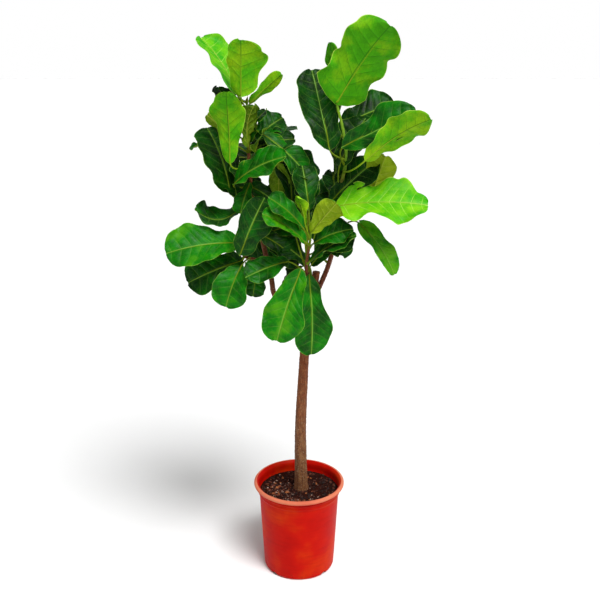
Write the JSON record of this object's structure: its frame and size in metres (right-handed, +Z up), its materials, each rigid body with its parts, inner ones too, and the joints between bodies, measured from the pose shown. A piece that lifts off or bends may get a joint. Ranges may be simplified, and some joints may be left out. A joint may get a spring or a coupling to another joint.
{
  "type": "potted fiddle leaf fig",
  "caption": "Fiddle leaf fig grown as a small standard: a bare trunk with a forked crown of large waisted leaves, in a round plastic nursery pot.",
  "frame": {"origin": "centre of the pot's underside, on the surface it stands on", "axes": "+Z up along the trunk; -Y is the plant's front, towards the two hanging leaves; +X is to the right seen from the front"},
  "size_m": [0.6951, 0.4504, 1.6002],
  "materials": {
    "pot_plastic": "satin",
    "soil": "matte",
    "trunk_bark": "matte",
    "shoot_bark": "matte",
    "mature_leaf": "satin",
    "young_leaf": "satin"
  },
  "bodies": {
    "root": {"pot": "pot_plastic", "soil": "soil", "trunk": "trunk_bark", "left_leader": "shoot_bark", "right_leader": "shoot_bark", "centre_shoot": "shoot_bark", "rear_shoot": "shoot_bark", "lower_left_shoot": "shoot_bark", "left_leaf_01": "young_leaf", "left_leaf_02": "young_leaf", "left_leaf_03": "young_leaf", "left_leaf_04": "young_leaf", "left_leaf_05": "mature_leaf", "left_leaf_06": "mature_leaf", "left_leaf_07": "mature_leaf", "left_leaf_08": "mature_leaf", "left_leaf_09": "mature_leaf", "left_leaf_10": "mature_leaf", "left_leaf_11": "mature_leaf", "left_leaf_12": "mature_leaf", "left_leaf_13": "mature_leaf", "left_leaf_14": "mature_leaf", "left_leaf_15": "mature_leaf", "right_leaf_01": "young_leaf", "right_leaf_02": "young_leaf", "right_leaf_03": "mature_leaf", "right_leaf_04": "mature_leaf", "right_leaf_05": "young_leaf", "right_leaf_06": "mature_leaf", "right_leaf_07": "mature_leaf", "right_leaf_08": "young_leaf", "right_leaf_09": "mature_leaf", "right_leaf_10": "mature_leaf", "centre_leaf_01": "mature_leaf", "centre_leaf_02": "mature_leaf", "centre_leaf_03": "young_leaf", "centre_leaf_04": "mature_leaf", "centre_leaf_05": "mature_leaf", "centre_leaf_06": "mature_leaf", "centre_leaf_07": "mature_leaf", "hanging_leaf_01": "mature_leaf", "hanging_leaf_02": "mature_leaf", "centre_leaf_08": "mature_leaf", "low_leaf_01": "mature_leaf", "low_leaf_02": "mature_leaf", "low_leaf_03": "mature_leaf", "low_leaf_04": "mature_leaf", "low_leaf_05": "mature_leaf", "rear_leaf_01": "mature_leaf", "rear_leaf_02": "mature_leaf", "rear_leaf_03": "mature_leaf", "rear_leaf_04": "mature_leaf", "rear_leaf_05": "mature_leaf", "rear_leaf_06": "mature_leaf", "rear_leaf_07": "mature_leaf", "rear_leaf_08": "mature_leaf", "rear_leaf_09": "mature_leaf", "rear_leaf_10": "mature_leaf", "rear_leaf_11": "mature_leaf", "rear_leaf_12": "mature_leaf"}
  },
  "joints": []
}
